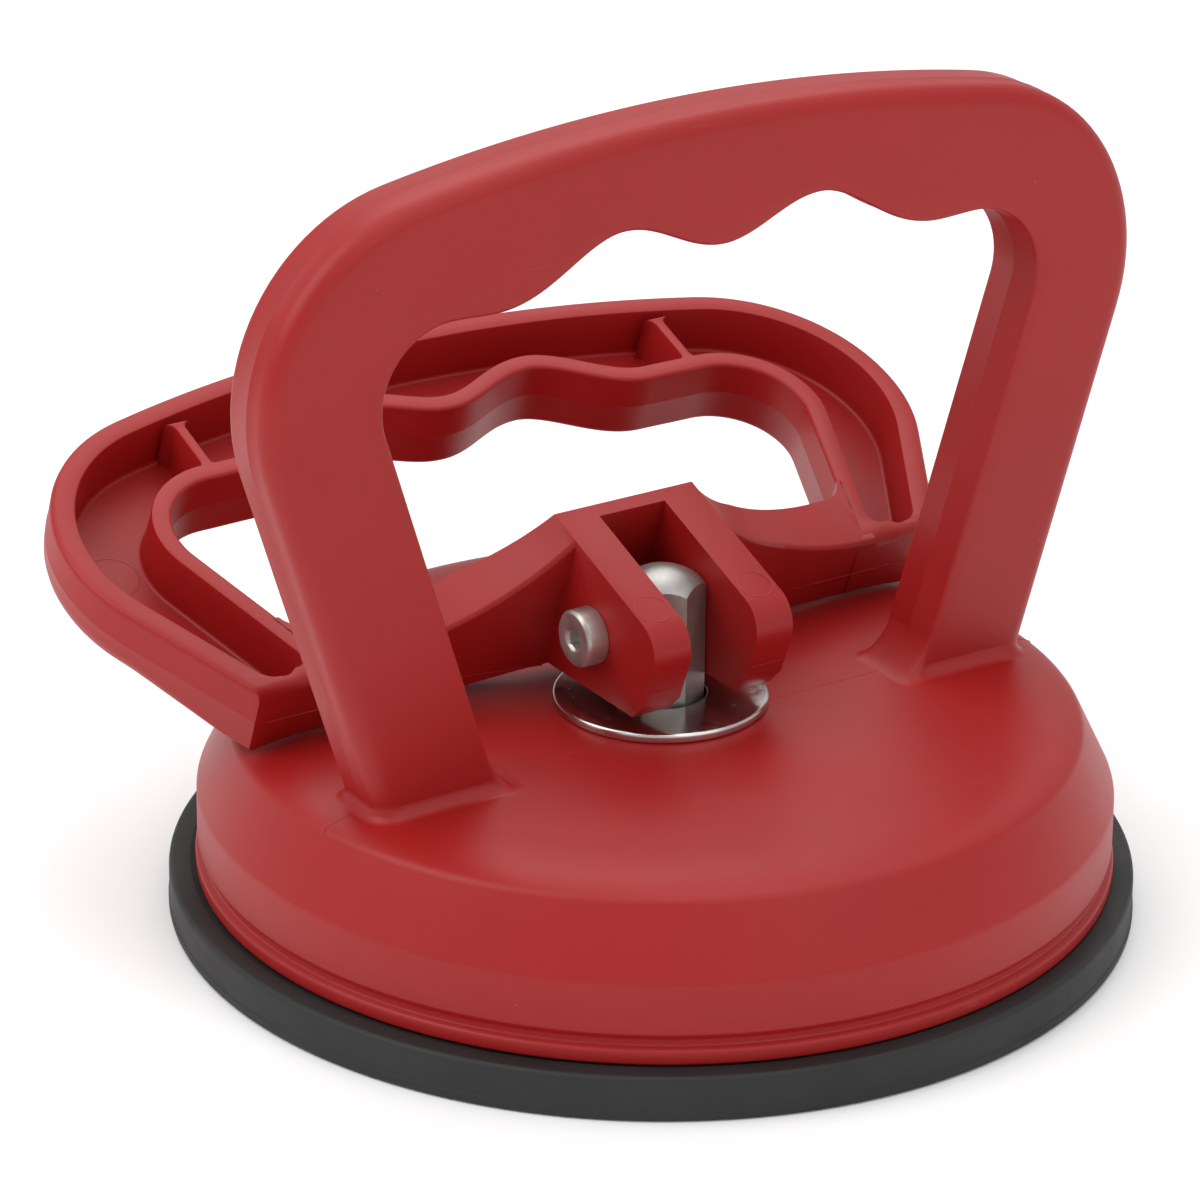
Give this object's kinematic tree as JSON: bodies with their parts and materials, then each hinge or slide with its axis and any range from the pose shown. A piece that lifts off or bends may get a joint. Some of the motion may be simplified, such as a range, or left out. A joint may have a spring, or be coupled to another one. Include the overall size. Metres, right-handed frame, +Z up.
{
  "type": "vacuum suction cup",
  "caption": "Lever-operated vacuum suction cup: a rubber disc under a moulded dome with a fixed grip handle and a folding cam lever.",
  "frame": {"origin": "centre of the disc's gripping face, on the surface that the cup stands on", "axes": "+Z up along the post, X along both grips, +Y towards the side where the lever rests"},
  "size_m": [0.121, 0.124, 0.102],
  "materials": {
    "red_plastic": "satin moulded",
    "black_rubber": "matt moulded",
    "zinc_steel": "zinc plated",
    "bright_steel": "drawn, plated",
    "screw_steel": "plated"
  },
  "bodies": {
    "base": {"housing": "red_plastic", "cam_washer": "zinc_steel", "suction_pad": "black_rubber"},
    "lift_post": {"pad_plate": "zinc_steel", "pad_stud": "zinc_steel", "lock_nut": "zinc_steel", "hex_post": "bright_steel"},
    "lever_arm": {"lever": "red_plastic", "pivot_screw": "screw_steel", "pivot_nut": "zinc_steel"}
  },
  "joints": [
    {"name": "post_lift", "type": "slide", "parent": "base", "child": "lift_post", "axis": [0, 0, 1], "range_m": [0, 0.0032]},
    {"name": "lever_pivot", "type": "hinge", "parent": "lift_post", "child": "lever_arm", "pos_m": [0, 0, 0.036], "axis": [1, 0, 0], "range_deg": [0, 69.3]}
  ],
  "couplings": [
    {"joint": "post_lift", "follows": "lever_pivot", "m_per_rad": 0.0026457}
  ]
}
